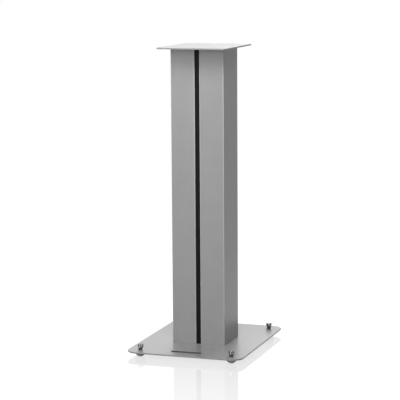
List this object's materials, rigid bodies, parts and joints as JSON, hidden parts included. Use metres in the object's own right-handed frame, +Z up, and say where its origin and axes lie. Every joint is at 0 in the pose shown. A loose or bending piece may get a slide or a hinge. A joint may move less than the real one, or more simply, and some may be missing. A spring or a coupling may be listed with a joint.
{
  "type": "speaker stand",
  "caption": "Free-standing loudspeaker stand: slotted rectangular column between a thin top plate and a larger base plate on screw-adjusted levelling feet.",
  "frame": {"origin": "on the floor, under the centre of the base plate", "axes": "+Z up; the front with the badge plate faces -Y; +X to the right seen from the front"},
  "size_m": [0.243, 0.31, 0.616],
  "materials": {
    "satin_silver": "satin silver, fine metallic",
    "black_profile": "matte black anodised",
    "badge_black": "satin black anodised, blank",
    "raw_steel": "mill finish",
    "zinc_screw": "bright zinc plated",
    "zinc_bush": "bright zinc plated",
    "black_nickel": "black nickel, polished",
    "dark_foot": "satin",
    "black_rubber": "matte"
  },
  "bodies": {
    "stand": {"base_plate": "satin_silver", "top_plate": "satin_silver", "left_tube": "satin_silver", "right_tube": "satin_silver", "slot_spine": "black_profile", "badge_plate": "badge_black", "left_bottom_block": "raw_steel", "left_top_block": "raw_steel", "right_bottom_block": "raw_steel", "right_top_block": "raw_steel", "base_screws": "zinc_screw", "top_screws": "zinc_screw", "bush_front_left": "zinc_bush", "bush_front_right": "zinc_bush", "bush_back_left": "zinc_bush", "bush_back_right": "zinc_bush"},
    "front_left_foot": {"domed_foot_front_left": "dark_foot", "sole_front_left": "black_rubber"},
    "front_left_screw": {"levelling_screw_front_left": "black_nickel"},
    "front_right_foot": {"domed_foot_front_right": "dark_foot", "sole_front_right": "black_rubber"},
    "front_right_screw": {"levelling_screw_front_right": "black_nickel"},
    "back_left_foot": {"domed_foot_back_left": "dark_foot", "sole_back_left": "black_rubber"},
    "back_left_screw": {"levelling_screw_back_left": "black_nickel"},
    "back_right_foot": {"domed_foot_back_right": "dark_foot", "sole_back_right": "black_rubber"},
    "back_right_screw": {"levelling_screw_back_right": "black_nickel"}
  },
  "joints": [
    {"name": "front_left_height", "type": "slide", "parent": "stand", "child": "front_left_foot", "axis": [0, 0, -1], "range_m": [-0.0003, 0.0048]},
    {"name": "front_left_turn", "type": "hinge", "parent": "front_left_foot", "child": "front_left_screw", "pos_m": [-0.096, -0.1295, 0.006], "axis": [0, 0, -1], "range_deg": [-85, 1165]},
    {"name": "front_right_height", "type": "slide", "parent": "stand", "child": "front_right_foot", "axis": [0, 0, -1], "range_m": [-0.0003, 0.0048]},
    {"name": "front_right_turn", "type": "hinge", "parent": "front_right_foot", "child": "front_right_screw", "pos_m": [0.096, -0.1295, 0.006], "axis": [0, 0, -1], "range_deg": [-85, 1165]},
    {"name": "back_left_height", "type": "slide", "parent": "stand", "child": "back_left_foot", "axis": [0, 0, -1], "range_m": [-0.0003, 0.0048]},
    {"name": "back_left_turn", "type": "hinge", "parent": "back_left_foot", "child": "back_left_screw", "pos_m": [-0.096, 0.1295, 0.006], "axis": [0, 0, -1], "range_deg": [-85, 1165]},
    {"name": "back_right_height", "type": "slide", "parent": "stand", "child": "back_right_foot", "axis": [0, 0, -1], "range_m": [-0.0003, 0.0048]},
    {"name": "back_right_turn", "type": "hinge", "parent": "back_right_foot", "child": "back_right_screw", "pos_m": [0.096, 0.1295, 0.006], "axis": [0, 0, -1], "range_deg": [-85, 1165]}
  ],
  "couplings": [
    {"joint": "front_left_turn", "follows": "front_left_height", "rad_per_m": 4188.8},
    {"joint": "front_right_turn", "follows": "front_right_height", "rad_per_m": 4188.8},
    {"joint": "back_left_turn", "follows": "back_left_height", "rad_per_m": 4188.8},
    {"joint": "back_right_turn", "follows": "back_right_height", "rad_per_m": 4188.8}
  ]
}
